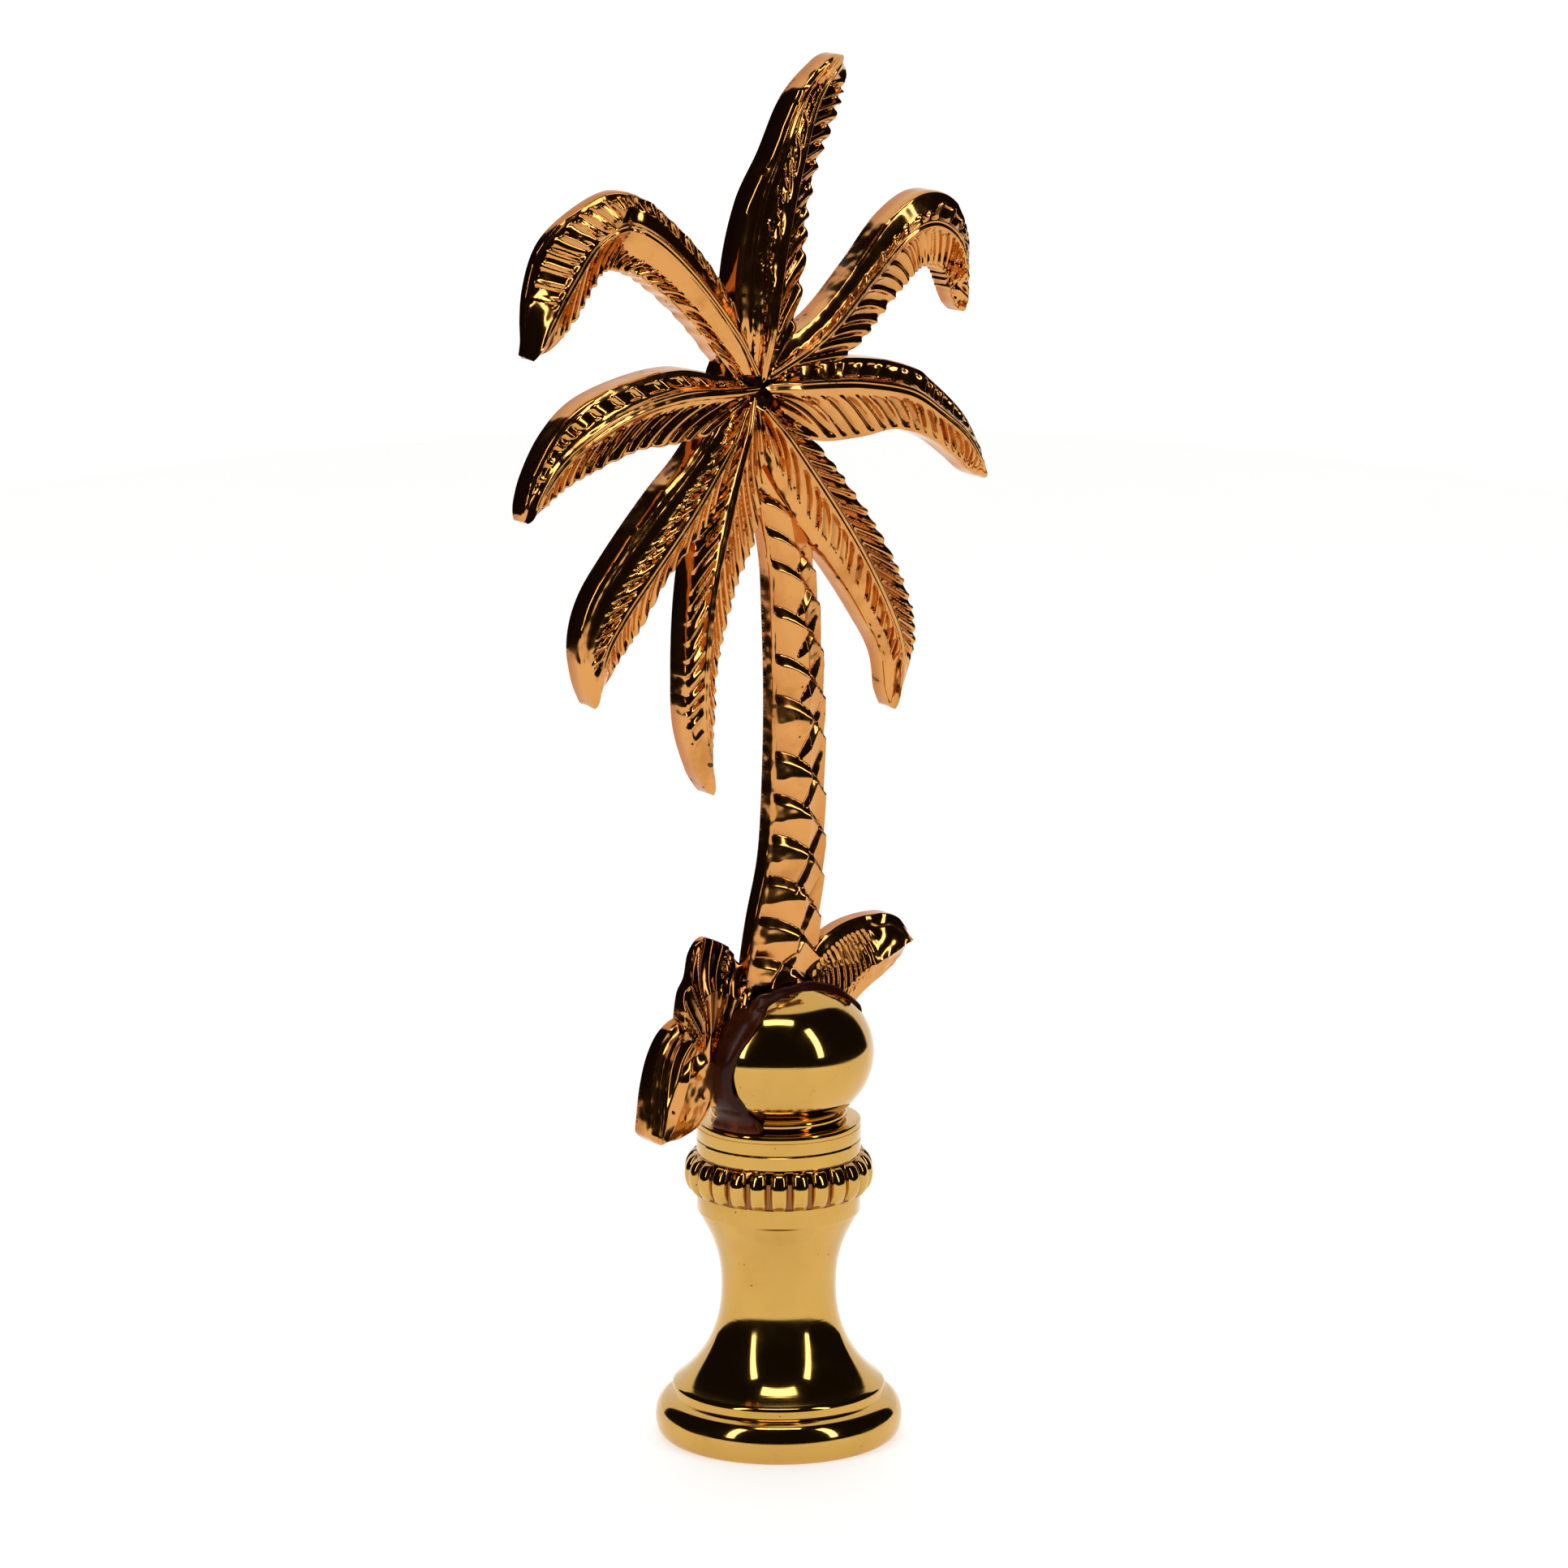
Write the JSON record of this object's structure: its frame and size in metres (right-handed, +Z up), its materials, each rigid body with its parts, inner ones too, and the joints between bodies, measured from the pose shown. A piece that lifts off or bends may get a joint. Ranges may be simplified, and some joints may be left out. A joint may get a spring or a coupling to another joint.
{
  "type": "lamp finial",
  "caption": "Brass lamp finial: a cast palm tree glued in the slot of a ball, on a turned and milled foot with a blind stud hole below.",
  "frame": {"origin": "centre of the foot's underside, on the axis of the stud hole", "axes": "+Z up along the turned axis; the palm's flat back lies in the X-Z plane, its carved face looks along -Y, and +X is to the right of a viewer who faces the carved side"},
  "size_m": [0.0349, 0.0158, 0.0886],
  "materials": {
    "turned_brass": "polished",
    "cast_brass": "lacquered, red toned, polished",
    "old_glue": "glossy, brown, slightly see-through"
  },
  "bodies": {
    "root": {"base_spool": "turned_brass", "ball_cap": "turned_brass", "palm": "cast_brass", "adhesive": "old_glue"}
  },
  "joints": []
}
